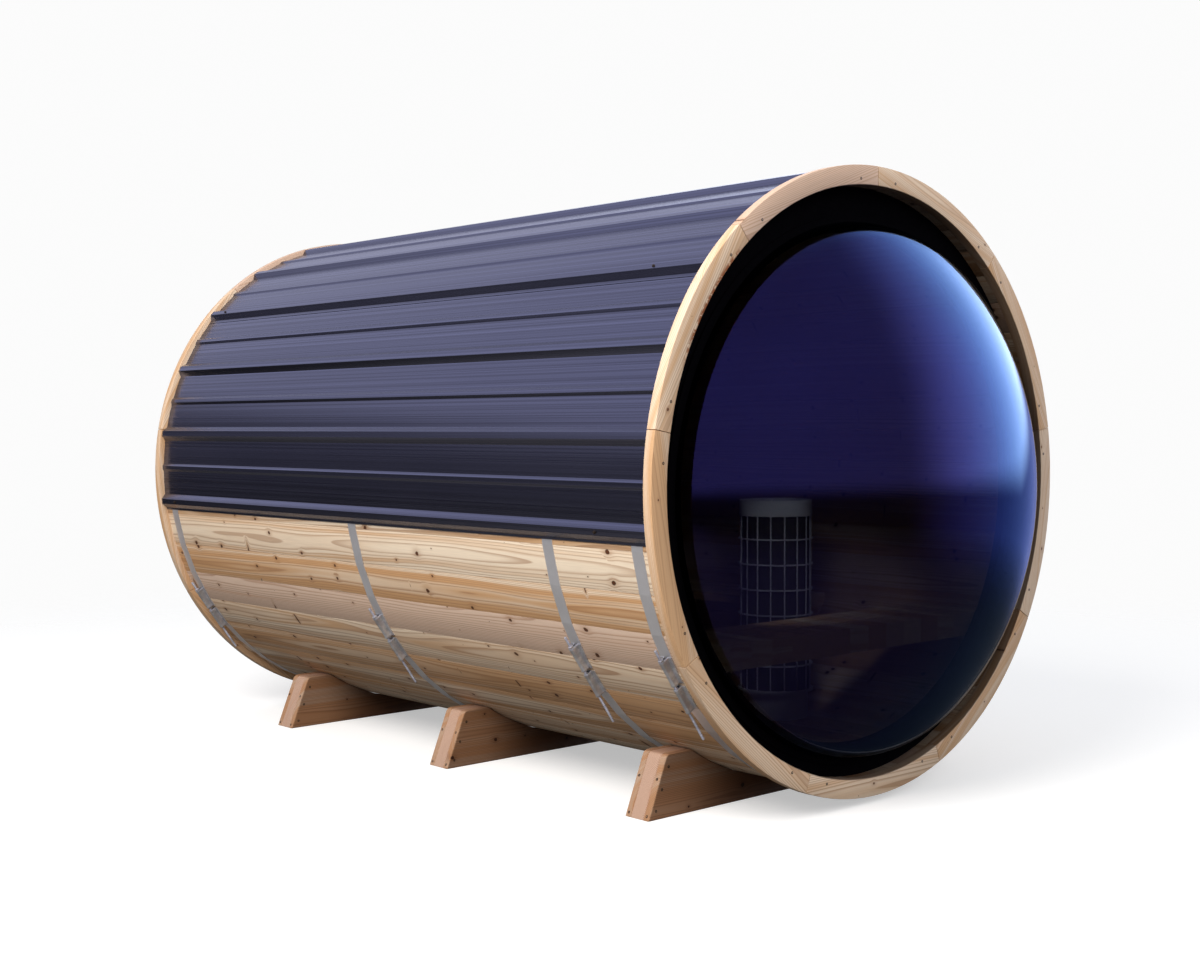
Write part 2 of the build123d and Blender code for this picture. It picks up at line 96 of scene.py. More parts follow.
def corner_curve(start, corner, end, steps):
    """A curve from start to end that bends at a corner: (1-t)^2 start + 2t(1-t) corner + t^2 end."""
    t = np.linspace(0, 1, steps).reshape(-1, 1)
    return start * (1 - t) ** 2 + corner * 2 * t * (1 - t) + end * t**2


def eased(outline, radius):
    """Rounds the corners of a closed outline, an array of corners and XY. Each corner becomes a
    curve of three points from one edge to the next."""
    back = np.roll(outline, 1, 0) - outline
    ahead = np.roll(outline, -1, 0) - outline
    start = outline + back / np.linalg.norm(back, axis=1, keepdims=True) * radius
    end = outline + ahead / np.linalg.norm(ahead, axis=1, keepdims=True) * radius
    return corner_curve(start[:, None], outline[:, None], end[:, None], 3).reshape(-1, 2)


def place_piece(name, mesh, material, slot, *nodes, smooth_angle=30):
    """Puts a finished mesh in the scene: its faces outwards, edges under the angle smooth, riding
    on the barrel and standing for the nodes it replaces."""
    work = bmesh.new()
    work.from_mesh(mesh)
    bmesh.ops.recalc_face_normals(work, faces=work.faces)
    work.to_mesh(mesh)
    work.free()
    mesh.polygons.foreach_set("use_smooth", np.ones(len(mesh.polygons), bool))
    mesh.set_sharp_from_angle(angle=radians(smooth_angle))
    mesh.name = name
    mesh.materials.append(material)
    piece = bpy.data.objects.new(name, mesh)
    bpy.context.scene.collection.objects.link(piece)
    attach(piece, "root")
    if nodes:
        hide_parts(*nodes)


def mark_grain(mesh, grain, tone):
    """Stores each point's place in its own board, and the board's tone, for the wood to read."""
    places = mesh.attributes.new("grain", "FLOAT_VECTOR", "POINT")
    places.data.foreach_set("vector", grain.astype(np.float32).ravel())
    tones = mesh.attributes.new("tone", "FLOAT", "POINT")
    tones.data.foreach_set("value", tone.astype(np.float32).ravel())


def put(tree, kind, *values, out=0, **settings):
    """Adds a shader node. Values go to its inputs in order: a socket is joined and a number set."""
    node = tree.nodes.new("ShaderNode" + kind)
    for name, value in settings.items():
        setattr(node, name, value)
    for place, value in enumerate(values):
        if isinstance(value, bpy.types.NodeSocket):
            tree.links.new(value, node.inputs[place])
        elif value is not None:
            node.inputs[place].default_value = value
    return node.outputs[out]


def reckon(tree, operation, *values):
    """Any sum of one or more shader values."""
    return put(tree, "Math", *values, operation=operation)


def times(tree, one, other):
    """The product of two shader values."""
    return reckon(tree, "MULTIPLY", one, other)


def less(tree, whole, part):
    """One shader value less another."""
    return reckon(tree, "SUBTRACT", whole, part)


def own_place(tree):
    """A point's place in metres, as its mesh has it."""
    return put(tree, "TexCoord", out=3)


def split(tree, place):
    """The X, Y and Z of a place."""
    return tuple(put(tree, "SeparateXYZ", place).node.outputs)


def scaled(tree, place, scale):
    """A place with its X, Y and Z each multiplied."""
    return put(tree, "VectorMath", place, scale, operation="MULTIPLY")


def length_of(tree, place):
    """How far a place is from zero."""
    return put(tree, "VectorMath", place, out=1, operation="LENGTH")


def noise(tree, place, scale, detail, roughness, out=0):
    """Soft noise that is mostly between 0.3 and 0.7."""
    return put(tree, "TexNoise", place, None, scale, detail, roughness, out=out)


def spread(tree, value, low, high):
    """Carries the usual span of noise, 0.3 to 0.7, onto low to high."""
    return put(tree, "MapRange", value, 0.3, 0.7, low, high)


def ease_between(tree, value, low, high):
    """0 below low, 1 above high, and a smooth step between."""
    return put(tree, "MapRange", value, low, high, 0.0, 1.0, interpolation_type="SMOOTHSTEP")


def stain(tree, amount, under, over, kind="MIX"):
    """One colour laid over another. The Mix node's colours are its seventh and eighth inputs."""
    unused = [None] * 5
    return put(tree, "Mix", amount, *unused, under, over, out=2, data_type="RGBA", blend_type=kind)


def colour(red, green, blue):
    """A colour from its 0 to 255 screen values, as light."""
    share = np.array((red, green, blue)) / 255
    light = np.where(share <= 0.04045, share / 12.92, ((share + 0.055) / 1.055) ** 2.4)
    return (*light.tolist(), 1.0)


def new_group(name, inputs, outputs):
    """An empty shader group with named sockets, and its input and output nodes."""
    group = bpy.data.node_groups.new(name, "ShaderNodeTree")
    for way, sockets in (("INPUT", inputs), ("OUTPUT", outputs)):
        for title, kind in sockets:
            group.interface.new_socket(title, in_out=way, socket_type="NodeSocket" + kind)
    return group, group.nodes.new("NodeGroupInput"), group.nodes.new("NodeGroupOutput")


# The wood group reads a place in the board in metres: along the grain, across it, and through it
# from the tree's heart. A knot may stand in each knot cell: its shape, its size and the halo where
# the grain bends round it come first.

wood_group, wood_in, wood_out = new_group(
    "sawn_softwood",
    [("Grain", "Vector"), ("Tone", "Float"), ("Cream", "Color"), ("Honey", "Color"),
     ("Line", "Color"), ("Knot", "Color"), ("Knots", "Float")],
    [("Color", "Color"), ("Roughness", "Float"), ("Height", "Float")],
)
tree = wood_group
grain, board_tone = wood_in.outputs["Grain"], wood_in.outputs["Tone"]
knot_cell = (0.21, 0.075, 1.0)
clear_share = 0.34
knot_growth = 0.0125
least_knot = 0.0002
faint_knot = 0.0006
spike_above = 0.90
round_shape = (0.85, 1.0, 1.0)
spike_shape = (1.5, 0.26, 1.0)
cell = scaled(tree, grain, tuple(1 / side for side in knot_cell))
knot_seed = put(tree, "TexVoronoi", cell, None, 1.0, voronoi_dimensions="2D").node.outputs
away = put(tree, "VectorMath", cell, knot_seed["Position"], operation="SUBTRACT")
away = scaled(tree, away, (knot_cell[0], knot_cell[1], 0.0))
chance = put(tree, "SeparateColor", knot_seed["Color"]).node.outputs
spike = reckon(tree, "GREATER_THAN", chance[1], spike_above)
knot_room = times(tree, wood_in.outputs["Knots"], knot_growth)
knot_size = times(tree, less(tree, chance[0], clear_share), knot_room)
knot_size = reckon(tree, "MAXIMUM", knot_size, least_knot)
shape = put(tree, "Mix", spike, None, None, None, round_shape, spike_shape, out=1, data_type="VECTOR")
ripple = noise(tree, grain, 90.0, 2.0, 0.6)
reach = reckon(tree, "DIVIDE", length_of(tree, scaled(tree, away, shape)), knot_size)
reach = reckon(tree, "ADD", reach, times(tree, less(tree, ripple, 0.5), 0.9))
reach_squared = reckon(tree, "POWER", reckon(tree, "MAXIMUM", reach, 0.0), 2.0)
halo = reckon(tree, "EXPONENT", times(tree, reach_squared, -0.13))

# Growth rings lie round the heart, wander a little along the board and flow round the knots. Each
# ring darkens slowly to its late wood, and streaks follow the rings.

ring_spacing = 0.0046
ring_wander = 0.040
ring_bend = -0.9
along_board = split(tree, grain)[0]
across_knot = split(tree, away)[1]
wander = noise(tree, scaled(tree, grain, (0.55, 5.0, 5.0)), 1.0, 2.0, 0.5, out=1)
shift = put(tree, "VectorMath", wander, (0.5, 0.5, 0.5), operation="SUBTRACT")
shift = scaled(tree, shift, (0.0, ring_wander, ring_wander))
drawn = put(tree, "CombineXYZ", 0.0, times(tree, times(tree, across_knot, halo), ring_bend), 0.0)
moved = put(tree, "VectorMath", scaled(tree, grain, (0.0, 1.0, 1.0)), shift, operation="ADD")
heart_distance = length_of(tree, put(tree, "VectorMath", moved, drawn, operation="ADD"))
ring_phase = reckon(tree, "FRACT", reckon(tree, "DIVIDE", heart_distance, ring_spacing))
late_wood = ease_between(tree, ring_phase, 0.45, 0.92)
late_wood = less(tree, late_wood, ease_between(tree, ring_phase, 0.94, 1.0))


def streaks(along, through, seed, detail, roughness):
    """Noise drawn out along the board, and fine from ring to ring."""
    place = put(
        tree, "CombineXYZ", times(tree, along_board, along), times(tree, heart_distance, through), seed,
    )
    return noise(tree, place, 1.0, detail, roughness)


streak = streaks(0.30, 70.0, 0.0, 3.0, 0.62)
broad = streaks(0.16, 22.0, 3.7, 2.0, 0.5)

# The colour runs from honey to cream with the streaks and the board's tone, then come the late
# wood's lines, the fibres, the dark round each knot and the knot itself.

pink_wood = colour(196, 160, 142)
knot_heart = (0.010, 0.005, 0.003, 1)
pale = reckon(tree, "ADD", times(tree, streak, 0.75), times(tree, broad, 0.75))
pale = reckon(tree, "ADD", pale, times(tree, less(tree, board_tone, 0.5), 0.40))
wood_colour = stain(
    tree, ease_between(tree, pale, 0.60, 0.90), wood_in.outputs["Honey"], wood_in.outputs["Cream"],
)
pinkish = times(tree, ease_between(tree, board_tone, 0.84, 0.90), 0.55)
wood_colour = stain(tree, pinkish, wood_colour, pink_wood)
wood_colour = stain(tree, times(tree, late_wood, streak), wood_colour, wood_in.outputs["Line"])
fibre = noise(tree, scaled(tree, grain, (7.0, 420.0, 420.0)), 1.0, 3.0, 0.7)
fibre_shade = put(tree, "MapRange", fibre, 0.25, 0.75, 0.88, 1.08)
fibre_grey = put(tree, "CombineColor", fibre_shade, fibre_shade, fibre_shade)
wood_colour = stain(tree, 1.0, wood_colour, fibre_grey, "MULTIPLY")
knot_shadow = times(tree, halo, ease_between(tree, knot_size, faint_knot, 0.004))
wood_colour = stain(tree, times(tree, knot_shadow, 0.42), wood_colour, wood_in.outputs["Line"])
knot = less(tree, 1.0, ease_between(tree, reach, 0.80, 1.25))
knot = times(tree, knot, ease_between(tree, knot_size, faint_knot, 0.0016))
knot_rim = reckon(tree, "MULTIPLY_ADD", ease_between(tree, reach, 0.45, 1.0), 0.6, 0.1)
wood_colour = stain(tree, knot, wood_colour, stain(tree, knot_rim, wood_in.outputs["Knot"], knot_heart))
wood_rough = reckon(tree, "MULTIPLY_ADD", fibre, 0.22, 0.50)
wood_height = reckon(tree, "MULTIPLY_ADD", late_wood, 0.5, times(tree, fibre, 0.5))
wood_height = less(tree, wood_height, times(tree, knot, 0.5))
tree.links.new(wood_colour, wood_out.inputs["Color"])
tree.links.new(wood_rough, wood_out.inputs["Roughness"])
tree.links.new(wood_height, wood_out.inputs["Height"])


def new_material(name):
    """A material with its node tree and its main shader."""
    material = bpy.data.materials.new(name)
    material.use_nodes = True
    return material, material.node_tree, material.node_tree.nodes["Principled BSDF"]


def feed(shader, title, value):
    """Joins a value to one of a shader's inputs, or sets it there where it is plain."""
    if isinstance(value, bpy.types.NodeSocket):
        shader.id_data.links.new(value, shader.inputs[title])
    else:
        shader.inputs[title].default_value = value


def board_grain(tree):
    """The grain and tone stored on a piece's own boards."""
    place = put(tree, "Attribute", out=1, attribute_name="grain")
    return place, put(tree, "Attribute", out=2, attribute_name="tone")


def wood(name, cream, honey, line, knot, knots=1.0, grain_from=board_grain):
    """A wood finish from the shared group, with its own colours in screen values."""
    material, tree, shader = new_material(name)
    place, tone = grain_from(tree)
    group = tree.nodes.new("ShaderNodeGroup")
    group.node_tree = wood_group
    feed(group, "Grain", place)
    feed(group, "Tone", tone)
    for title, value in (("Cream", cream), ("Honey", honey), ("Line", line), ("Knot", knot)):
        feed(group, title, colour(*value))
    feed(group, "Knots", knots)
    bump = tree.nodes.new("ShaderNodeBump")
    feed(bump, "Strength", 0.35)
    feed(bump, "Distance", 0.0006)
    feed(bump, "Height", group.outputs["Height"])
    feed(shader, "Base Color", group.outputs["Color"])
    feed(shader, "Roughness", group.outputs["Roughness"])
    feed(shader, "Normal", bump.outputs["Normal"])
    feed(shader, "Specular IOR Level", 0.35)
    return material


def stain_base(material, amount, over, kind="MULTIPLY"):
    """Lays a colour over what already feeds a material's base colour."""
    tree = material.node_tree
    base = tree.nodes["Principled BSDF"].inputs["Base Color"]
    tree.links.new(stain(tree, amount, base.links[0].from_socket, over, kind), base)


def barrel_place(tree):
    """A point's X and Y, and its height above the barrel's axis."""
    x, y, z = split(tree, own_place(tree))
    return x, y, less(tree, z, axis_z)


def from_axis(tree, x, height):
    """A point's distance from the barrel's axis."""
    return length_of(tree, put(tree, "CombineXYZ", x, 0.0, height))


def front_bay_painted_shade(material, low_radius, high_radius, back_face):
    """Paints shade onto the inner faces in front of the black wall, darkening them where they lie in the
    recess.
    """
    tree = material.node_tree
    x, y, height = barrel_place(tree)
    radius = from_axis(tree, x, height)
    inside = less(tree, 1.0, ease_between(tree, radius, low_radius, high_radius))
    ahead = less(tree, 1.0, ease_between(tree, y, back_face, back_face + 0.01))
    stain_base(material, times(tree, times(tree, inside, ahead), 0.80), colour(70, 56, 46))


stave_wood = wood("stave_wood", (228, 211, 188), (198, 155, 112), (146, 100, 64), (92, 54, 32))
stave_low, stave_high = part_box("staves_top")
stave_count = 48
stave_turn = radians(2.6)
stave_pitch = 2 * pi / stave_count
stave_outer = 1.072
stave_thickness = 0.038
stave_inner = stave_outer - stave_thickness
stave_gap = 0.0007
stave_edge = 0.0016
pink_boards = [4, 12, 27, 37, 44]
pink_tone = 0.95
random = np.random.default_rng(7)

outer_half = stave_outer * tan(stave_pitch / 2) - stave_gap / 2
inner_half = stave_inner * tan(stave_pitch / 2) - stave_gap / 2
stave_outline = eased(np.array([
    (stave_inner, -inner_half), (stave_outer, -outer_half),
    (stave_outer, outer_half), (stave_inner, inner_half),
]), stave_edge)
out_along, across = stave_outline.T
stave_angle = (stave_turn + stave_pitch * (np.arange(stave_count) + 0.5))[:, None]
rings = np.zeros((stave_count, 2, len(stave_outline), 3))
rings[..., 0] = (out_along * np.cos(stave_angle) - across * np.sin(stave_angle))[:, None]
rings[..., 1] = np.array([stave_low.y, stave_high.y])[:, None]
rings[..., 2] = (axis_z + out_along * np.sin(stave_angle) + across * np.cos(stave_angle))[:, None]
stave_mesh = joined_bars(rings)
wall_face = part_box("front_wall")[0].y
# Painted shade: the staves' inner faces ahead of the black wall are darkened.
front_bay_painted_shade(stave_wood, stave_inner + 0.004, stave_inner + 0.010, wall_face)
heart_across = random.uniform(-0.09, 0.09, (stave_count, 1, 1))
heart_depth = random.uniform(0.03, 0.11, (stave_count, 1, 1))
grain = np.zeros_like(rings)
grain[..., 0] = rings[..., 1] + random.uniform(0, 60, (stave_count, 1, 1))
grain[..., 1] = across + heart_across
grain[..., 2] = out_along - stave_inner + heart_depth
board_tones = random.uniform(0.1, 0.82, stave_count)
board_tones[pink_boards] = pink_tone
mark_grain(stave_mesh, grain, np.repeat(board_tones, 2 * len(stave_outline)))
place_piece(
    "barrel_staves", stave_mesh, stave_wood, "stave_wood",
    "staves_right", "staves_upper_right", "staves_top", "staves_upper_left",
    "staves_left", "staves_lower_left", "staves_floor", "staves_lower_right",
)

# End rings: each is nine pieces sawn to the round from softwood board, butted end to end and
# screwed to the ends of the staves. The grain runs along each piece's chord.

ring_wood = wood("ring_wood", (228, 205, 180), (206, 166, 126), (160, 114, 76), (120, 76, 44), knots=0.55)
ring_width = 0.068
ring_inner = ring_radius - ring_width
ring_thickness = 0.038
ring_pieces = 9
ring_tones = np.array([0.90, 0.66, 0.38, 0.34, 0.60, 0.52, 0.76, 0.70, 0.72])
ring_joint = 0.0020
ring_edge = 0.0025
ring_steps = 18
# Painted shade: the ring's inner side ahead of the black wall is darkened.
front_bay_painted_shade(ring_wood, ring_inner + 0.001, ring_inner + 0.003, front_y + 0.05)
tree = ring_wood.node_tree
x, y, height = barrel_place(tree)
radius = from_axis(tree, x, height)
torn = ease_between(tree, noise(tree, own_place(tree), 48.0, 3.0, 0.6), 0.43, 0.52)
inner_edge = less(tree, 1.0, ease_between(tree, radius, ring_inner + 0.005, ring_inner + 0.018))
left_side = less(tree, 1.0, ease_between(tree, x, -0.74, -0.68))
upper_part = ease_between(tree, height, 0.36, 0.46)
for part in (inner_edge, left_side, upper_part):
    torn = times(tree, torn, part)
stain_base(ring_wood, torn, colour(148, 84, 38), "MIX")
full = eased(np.array([
    (ring_inner, 0), (ring_radius, 0), (ring_radius, ring_thickness), (ring_inner, ring_thickness),
]), ring_edge)
section_middle = np.array([ring_radius - ring_width / 2, ring_thickness / 2])
section_size = np.array([ring_width, ring_thickness])
small = section_middle + (full - section_middle) * (1 - ring_edge / section_size)
piece_pitch = 2 * pi / ring_pieces
piece_start = pi / 2 + piece_pitch * np.arange(ring_pieces)
joint_half = ring_joint / 2 / ring_radius
ease_turn = ring_edge / 3 / ring_radius
station = np.concatenate([
    [joint_half],
    np.linspace(joint_half + ease_turn, piece_pitch - joint_half - ease_turn, ring_steps),
    [piece_pitch - joint_half],
])
outlines = np.repeat(full[None], len(station), 0)
outlines[[0, -1]] = small


def ring_of_pieces(y):
    """Each piece's outline at every station round its arc, and its grain: along the chord, radius
    times the sine of the turn from the piece's middle."""
    angle = piece_start[:, None, None] + station[None, :, None]
    radius = outlines[None, :, :, 0]
    rings = np.zeros((ring_pieces, *outlines.shape[:2], 3))
    rings[..., 0] = radius * np.cos(angle)
    rings[..., 1] = y + outlines[None, :, :, 1]
    rings[..., 2] = axis_z + radius * np.sin(angle)
    off_middle = angle - (piece_start[:, None, None] + piece_pitch / 2)
    each = (ring_pieces, 1, 1)
    grain = np.zeros_like(rings)
    grain[..., 0] = radius * np.sin(off_middle) + random.uniform(0, 50, each)
    grain[..., 1] = radius * np.cos(off_middle) - ring_radius + random.uniform(0.02, 0.16, each)
    grain[..., 2] = outlines[None, :, :, 1] + random.uniform(0.03, 0.12, each)
    tone = ring_tones + random.uniform(-0.04, 0.04, ring_pieces)
    return rings, grain, np.repeat(tone, outlines.shape[0] * outlines.shape[1])


for end, y in (("front", front_y), ("back", back_y - ring_thickness)):
    rings, grain, tone = ring_of_pieces(y)
    ring_mesh = joined_bars(rings)
    mark_grain(ring_mesh, grain, tone)
    place_piece(f"{end}_ring_pieces", ring_mesh, ring_wood, "ring_wood", f"{end}_ring")

# Screws: small dark countersunk steel heads, driven flush. One stands 100 mm from each end of every
# ring piece, and the cradles have more.

screw_material, tree, shader = new_material("screw_steel")
feed(shader, "Metallic", 0.7)
tarnish = noise(tree, own_place(tree), 900.0, 2.0, 0.6)
feed(shader, "Roughness", spread(tree, tarnish, 0.35, 0.65))
feed(shader, "Base Color", stain(tree, tarnish, colour(52, 42, 36), colour(84, 72, 62)))
screw_radius = 0.0050
head_corners = 12
screw_profile = [
    (1.0, -0.0015), (1.0, 0.0004), (0.86, 0.0007), (0.42, 0.0007), (0.34, -0.0009), (0.02, -0.0012),
]


def turned_heads(places_and_normals, profile):
    """Turned heads: a profile of radius and height carried round each place's normal."""
    turn = np.arange(head_corners) * 2 * pi / head_corners
    places, normals = (np.array(part, float) for part in zip(*places_and_normals))
    off_normal = np.array([0.3, 0.5, 0.81])
    side = np.cross(normals, off_normal)
    side /= np.linalg.norm(side, axis=1, keepdims=True)
    other = np.cross(normals, side)
    round_ = side[:, None] * np.cos(turn)[:, None] + other[:, None] * np.sin(turn)[:, None]
    radius, height = np.array(profile).T[:, :, None, None]
    rings = places[:, None, None] + round_[:, None] * radius + normals[:, None, None] * height
    return joined_bars(rings)


def screw_heads(places_and_normals):
    """Countersunk heads: the height first rises from the wood to a flat rim and then falls into
    the recess."""
    profile = [(share * screw_radius, height) for share, height in screw_profile]
    return turned_heads(places_and_normals, profile)


screw_circle = ring_radius * 0.957
screw_inset = 0.100
screw_spots = []
for ring_face, outward in ((front_y, -1.0), (back_y, 1.0)):
    for start in piece_start:
        for inset in (screw_inset, piece_pitch * ring_radius - screw_inset):
            angle = start + inset / ring_radius
            spot = (screw_circle * cos(angle), ring_face, axis_z + screw_circle * sin(angle))
            screw_spots.append((spot, (0, outward, 0)))
place_piece("ring_screws", screw_heads(screw_spots), screw_material, "tensioner_steel")

# Front wall and dome: a black-painted board ring carries a blown acrylic dome by its flat lip, which
# is painted black with it. The dome is tinted so deep that it shines like a dark blue mirror, with
# the stove just showing through.

black_paint, tree, shader = new_material("black_paint")
brushed = noise(tree, scaled(tree, own_place(tree), (60.0, 60.0, 60.0)), 1.0, 4.0, 0.6)
feed(shader, "Base Color", stain(tree, brushed, colour(4, 4, 6), colour(12, 11, 15)))
feed(shader, "Roughness", spread(tree, brushed, 0.75, 0.90))
feed(shader, "Specular IOR Level", 0.0)


def dress(material, *nodes):
    """Gives a finish to solids that stay as they are."""
    for node in nodes:
        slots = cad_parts[node].data.materials
        slots.clear()
        slots.append(material)


dress(black_paint, "front_wall")
dome_radius = 0.940
dome_rise = 0.460
dome_thickness = 0.008
dome_knuckle = 0.180
dome_drop = 0.030
dome_lip = 0.022
dome_fillet = 0.012
lip_ease = 0.001
pole_radius = 0.0006
dome_steps = 180
dome_base = wall_face - 0.0003


def dome_profile(inset):
    """Half of the dome's outline as radius and height: a shallow round crown, then a tight
    knuckle, both offset inwards by inset. The two arcs meet without a bend because the crown's
    radius is (rise^2 + flat^2 - knuckle^2) / (2 (rise - knuckle))."""
    rise = dome_rise - dome_thickness
    flat = dome_radius - dome_knuckle
    crown = (rise**2 + flat**2 - dome_knuckle**2) / (2 * (rise - dome_knuckle))
    lean = np.arcsin(flat / (crown - dome_knuckle))
    over = np.linspace(0, lean, 40)
    down = np.linspace(lean, pi / 2, 30)[1:]
    crown_height = (crown - inset) * np.cos(over) - crown + rise
    knuckle = dome_knuckle - inset
    points = np.concatenate([
        np.stack([(crown - inset) * np.sin(over), crown_height], -1),
        np.stack([flat + knuckle * np.sin(down), knuckle * np.cos(down)], -1),
    ])
    points[:, 1] += dome_thickness
    return points


outer_skin = dome_profile(0.0)
outer_skin = outer_skin[outer_skin[:, 1] > dome_thickness + dome_fillet]
inner_skin = dome_profile(dome_thickness)[::-1]
turn_down = np.linspace(0, pi / 2, 7)
fillet_part = np.stack([
    dome_radius + dome_fillet - dome_fillet * np.cos(turn_down),
    dome_thickness + dome_fillet - dome_fillet * np.sin(turn_down),
], -1)
rim = dome_radius + dome_lip
rim_part = np.array([
    (rim - lip_ease, dome_thickness), (rim, dome_thickness - lip_ease),
    (rim, lip_ease), (rim - lip_ease, 0.0), (dome_radius - dome_thickness, 0.0),
])
profile = np.concatenate([outer_skin, fillet_part, rim_part, inner_skin[1:]])
profile[[0, -1], 0] = pole_radius

# The dome is that outline carried round its own middle: X is radius times cosine, and Z its sine.

radius, height = profile.T[:, :, None]
angle = np.arange(dome_steps) * 2 * pi / dome_steps
shell = np.zeros((1, len(profile), dome_steps, 3))
shell[0, ..., 0] = radius * np.cos(angle)
shell[0, ..., 1] = dome_base - height
shell[0, ..., 2] = axis_z - dome_drop + radius * np.sin(angle)
dome_mesh = joined_bars(shell)
tinted, tree, shader = new_material("tinted_acrylic")
feed(shader, "Metallic", 1.0)
feed(shader, "Specular Tint", (0.62, 0.78, 1.0, 1))
haze = noise(tree, own_place(tree), 2.2, 3.0, 0.5)
feed(shader, "Roughness", spread(tree, haze, 0.035, 0.075))
feed(shader, "Alpha", spread(tree, haze, 0.64, 0.69))
feed(shader, "Base Color", stain(tree, haze, (0.016, 0.013, 0.056, 1), (0.021, 0.018, 0.084, 1)))
place_piece("dome_shell", dome_mesh, tinted, "tinted_acrylic", "dome", smooth_angle=40)
dome_mesh.materials.append(black_paint)
middles = np.zeros(len(dome_mesh.polygons) * 3)
dome_mesh.polygons.foreach_get("center", middles)
off_centre = np.hypot(middles[0::3], middles[2::3] - axis_z + dome_drop)
on_lip = off_centre > dome_radius + 0.0005
dome_mesh.polygons.foreach_set("material_index", on_lip.astype(np.int32))

# Back wall and door, floor and benches: plain softwood boards nailed to frames and bearers behind
# the dome. The plank door hangs in the back wall, and black strips close the 4 mm gap round it.


def straight_grain(along, across, through, pitch, start=0.0):
    """Grain for boards that lie side by side: each board of that pitch gets its own part of the
    tree and its own tone."""

    def read(tree):
        """The grain and tone at a point of those boards."""
        place = dict(zip("XYZ", split(tree, own_place(tree))))
        board = reckon(tree, "DIVIDE", less(tree, place[across], start), pitch)
        board = reckon(tree, "FLOOR", board)
        own = put(tree, "TexWhiteNoise", None, board, noise_dimensions="1D")
        board_middle = reckon(tree, "MULTIPLY_ADD", board, pitch, start + pitch / 2)
        off_heart = reckon(tree, "MULTIPLY_ADD", own, 0.16, -0.08)
        grain = put(
            tree, "CombineXYZ", reckon(tree, "MULTIPLY_ADD", own, 37.0, place[along]),
            reckon(tree, "ADD", less(tree, place[across], board_middle), off_heart),
            reckon(tree, "ADD", place[through], 0.06),
        )
        return grain, own

    return read


wall_wood = wood(
    "back_wall_wood", (222, 196, 156), (198, 153, 104), (146, 100, 60), (96, 56, 32),
    grain_from=straight_grain("Z", "X", "Y", 0.135),
)
door_wood = wood(
    "door_wood", (216, 188, 146), (190, 144, 96), (138, 94, 56), (90, 52, 30),
    grain_from=straight_grain("Z", "X", "Y", 0.128, -0.064),
)
floor_wood = wood(
    "floor_wood", (206, 176, 134), (178, 132, 86), (128, 86, 52), (84, 50, 30),
    grain_from=straight_grain("Y", "X", "Z", 0.101, -0.05),
)
bench_wood = wood(
    "bench_wood", (228, 206, 170), (206, 164, 116), (152, 108, 66), (104, 64, 38), 0.6,
    grain_from=straight_grain("Y", "X", "Z", 0.104),
)
dress(wall_wood, "back_wall_left", "back_wall_right", "back_wall_over_door", "back_wall_under_door")
dress(door_wood, "door_boards", "door_ledges", "door_frame", "door_handle")
dress(floor_wood, "floor_boards", "floor_bearers")
dress(bench_wood, "left_bench_seat", "right_bench_seat", "bench_bearers")
dress(bench_wood, "front_bench_seat", "front_bench_fascia")
door_low, door_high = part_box("door_boards")
gap_low, gap_high, gap_inset = 0.0001, 0.0040, 0.006
strip_depth = (door_low.y + gap_inset, door_high.y - gap_inset)
door_width = (door_low.x, door_high.x)
strip_rise = (door_low.z - gap_high, door_high.z + gap_high)
strips = []
for (left, right), (foot, head) in (
    ((door_low.x - gap_high, door_low.x - gap_low), strip_rise),
    ((door_high.x + gap_low, door_high.x + gap_high), strip_rise),
    (door_width, (door_low.z - gap_high, door_low.z - gap_low)),
    (door_width, (door_high.z + gap_low, door_high.z + gap_high)),
):
    corners = [(left, foot), (right, foot), (right, head), (left, head)]
    strips.append([[(x, y, z) for x, z in corners] for y in strip_depth])
place_piece("door_gap_strips", joined_bars(np.array(strips)), black_paint, "black_board")

# Stove: a tower of grey stones in a cage of steel wire, on a steel base and with a solid steel band
# round the top. The steel is brushed and the stones are rough.

stove_steel, tree, shader = new_material("stove_steel")
feed(shader, "Metallic", 0.35)
brushed = noise(tree, scaled(tree, own_place(tree), (40.0, 40.0, 700.0)), 1.0, 3.0, 0.6)
feed(shader, "Base Color", stain(tree, brushed, colour(206, 208, 214), colour(238, 239, 243)))
feed(shader, "Roughness", spread(tree, brushed, 0.25, 0.42))
dress(stove_steel, "heater_base", "heater_cage", "heater_top_band")
stove_stone, tree, shader = new_material("stove_stone")
grit = noise(tree, own_place(tree), 140.0, 5.0, 0.7)
feed(shader, "Base Color", stain(tree, grit, colour(28, 27, 27), colour(74, 71, 68)))
feed(shader, "Roughness", 0.9)
dress(stove_stone, "heater_stones")

# Roof: four sheets of charcoal coil-coated steel wrapped over the staves, rolled with a tall rib and
# a low rib in turn. Each sheet laps the next beside a tall rib, and at the lower edges 8 mm is left
# flat below the last rib.

roof_paint, tree, shader = new_material("roof_paint")
x, y, height = barrel_place(tree)
girth = reckon(tree, "ARCTAN2", height, x)
rolled_place = put(tree, "CombineXYZ", times(tree, girth, 80.0), times(tree, y, 0.05), 0.0)
rolled = noise(tree, rolled_place, 1.0, 4.0, 0.75)
fleck = noise(tree, own_place(tree), 1500.0, 2.0, 0.7)
cloud = noise(tree, scaled(tree, own_place(tree), (3.0, 0.6, 3.0)), 1.0, 3.0, 0.5)
charcoal = stain(tree, ease_between(tree, rolled, 0.40, 0.64), colour(84, 85, 102), colour(112, 114, 136))
charcoal = stain(tree, times(tree, fleck, 0.06), charcoal, colour(150, 152, 180))
feed(shader, "Base Color", charcoal)
feed(shader, "Roughness", spread(tree, rolled, 0.30, 0.22))
feed(shader, "Metallic", spread(tree, cloud, 0.93, 0.97))
feed(shader, "Coat Roughness", 0.2)
feed(shader, "Coat Weight", 0.08)
roof_outer = 1.0768
sheet_thickness = 0.0007
tall_rib = (0.062, 0.022, 0.019)
